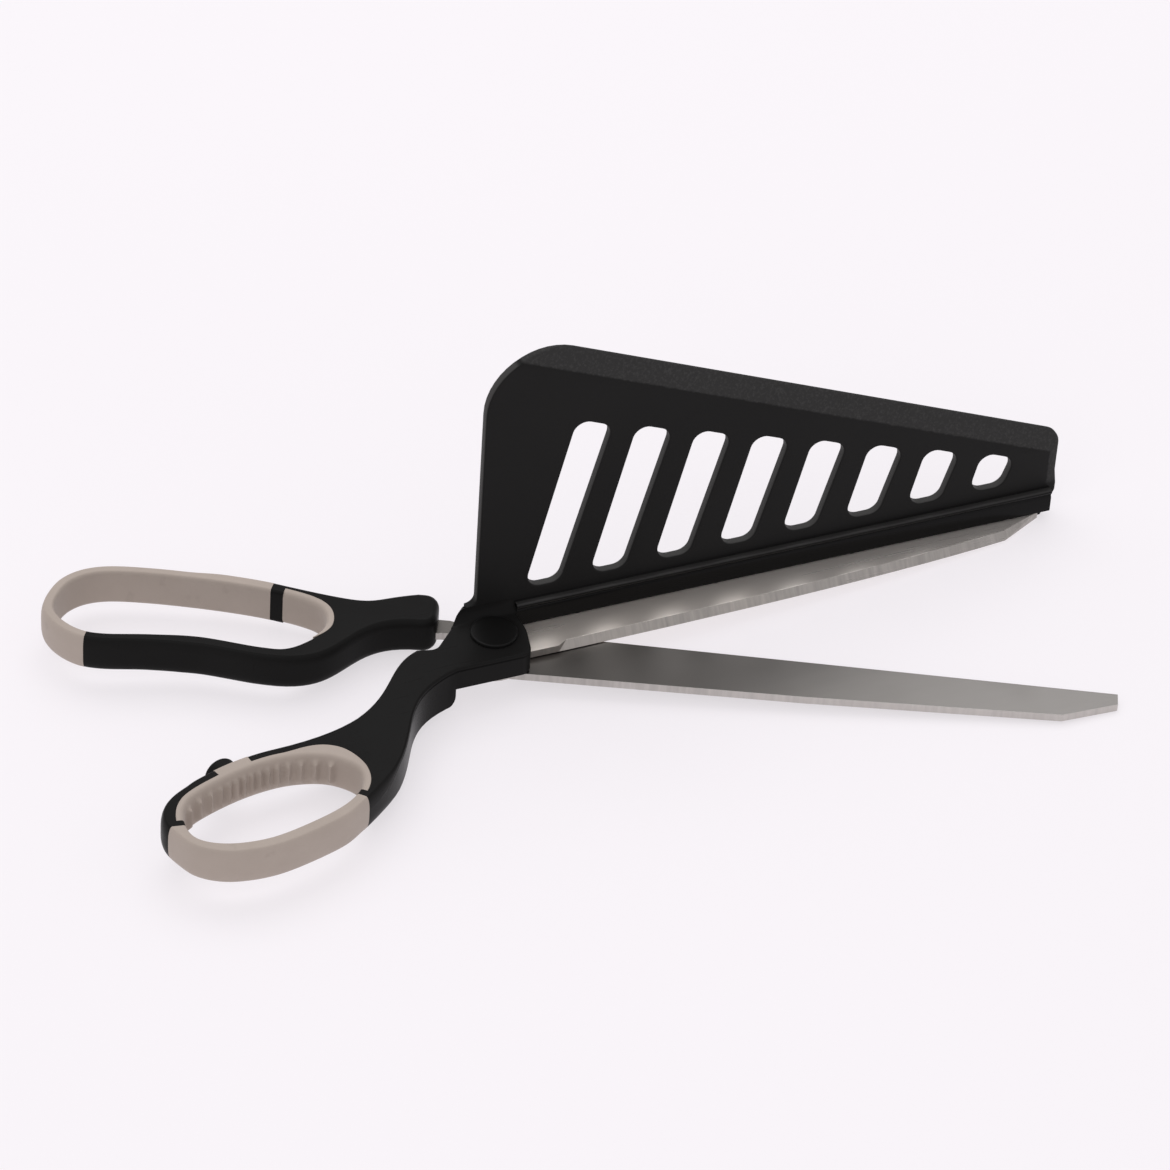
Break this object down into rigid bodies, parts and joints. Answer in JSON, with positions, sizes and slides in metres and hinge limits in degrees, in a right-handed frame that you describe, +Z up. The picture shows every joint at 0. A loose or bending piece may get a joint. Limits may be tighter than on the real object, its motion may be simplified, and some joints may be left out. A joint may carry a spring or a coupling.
{
  "type": "pizza scissors",
  "caption": "Scissors that cut and serve pizza: two long steel blades on one pivot, a slotted spatula standing along one blade, and soft-grip loop handles.",
  "frame": {"origin": "centre of the pivot nut's flat underside, on the pivot axis", "axes": "+Z up the pivot axis from the nut to the cap; +X from the pivot along the spatula blade to its tip; +Y towards the spatula's flat back"},
  "size_m": [0.3101, 0.1506, 0.107],
  "materials": {
    "blade_steel": "satin",
    "hardware_steel": "satin",
    "black_plastic": "satin",
    "spatula_plastic": "fine grain",
    "soft_grip": "matt",
    "bumper_rubber": "matt"
  },
  "bodies": {
    "spatula_half": {"spatula_blade": "blade_steel", "thumb_handle": "black_plastic", "thumb_outer_grip": "soft_grip", "thumb_inner_grip": "soft_grip", "stop_bumper": "bumper_rubber", "spatula": "spatula_plastic", "spatula_screw_1": "hardware_steel", "spatula_screw_2": "hardware_steel", "spatula_screw_3": "hardware_steel", "spatula_screw_4": "hardware_steel", "pivot_bolt": "hardware_steel", "pivot_nut": "hardware_steel", "head_washer": "hardware_steel", "blade_washer": "hardware_steel", "spring_washer": "hardware_steel", "pivot_cap": "black_plastic"},
    "cutting_half": {"cutting_blade": "blade_steel", "finger_handle": "black_plastic", "finger_outer_grip": "soft_grip", "finger_inner_grip": "soft_grip"}
  },
  "joints": [
    {"name": "blade_pivot", "type": "hinge", "parent": "spatula_half", "child": "cutting_half", "pos_m": [0, 0, 0.005], "axis": [0, 0, 1], "range_deg": [-24, 28.9]}
  ]
}
